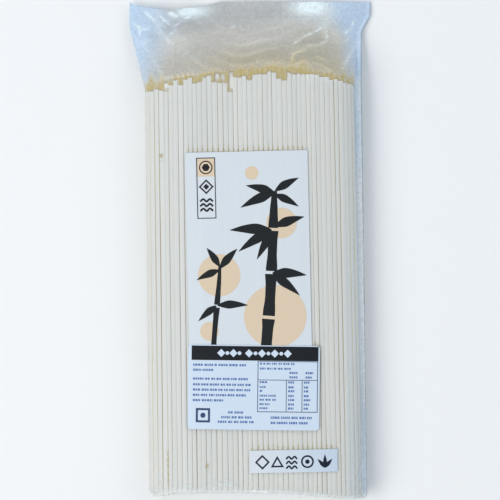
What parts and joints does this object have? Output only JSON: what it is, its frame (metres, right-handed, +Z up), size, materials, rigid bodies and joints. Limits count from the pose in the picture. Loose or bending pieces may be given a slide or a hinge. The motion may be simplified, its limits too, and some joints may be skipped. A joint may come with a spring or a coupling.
{
  "type": "dry udon noodle pack",
  "caption": "Clear sealed film bag of straight dry udon noodle sticks with an empty header, a tall printed front label, an information sticker and a small weight label.",
  "frame": {"origin": "middle of the pack's footprint, on the surface that it lies on", "axes": "+Z up out of the labelled front, +Y from the foot of the pack to its header, +X to the right of the front"},
  "size_m": [0.144, 0.297, 0.0302],
  "materials": {
    "noodles_in_film": "clear film over cream noodle sticks, glossy",
    "panel_paper": "printed paper, pale with tan and black fields, semi-matt",
    "sticker_paper": "printed paper, bluish white with black rules, satin",
    "slip_paper": "printed paper, bluish white, satin"
  },
  "bodies": {
    "root": {"noodle_bag": "noodles_in_film", "front_panel": "panel_paper", "info_sticker": "sticker_paper", "weight_slip": "slip_paper"}
  },
  "joints": []
}
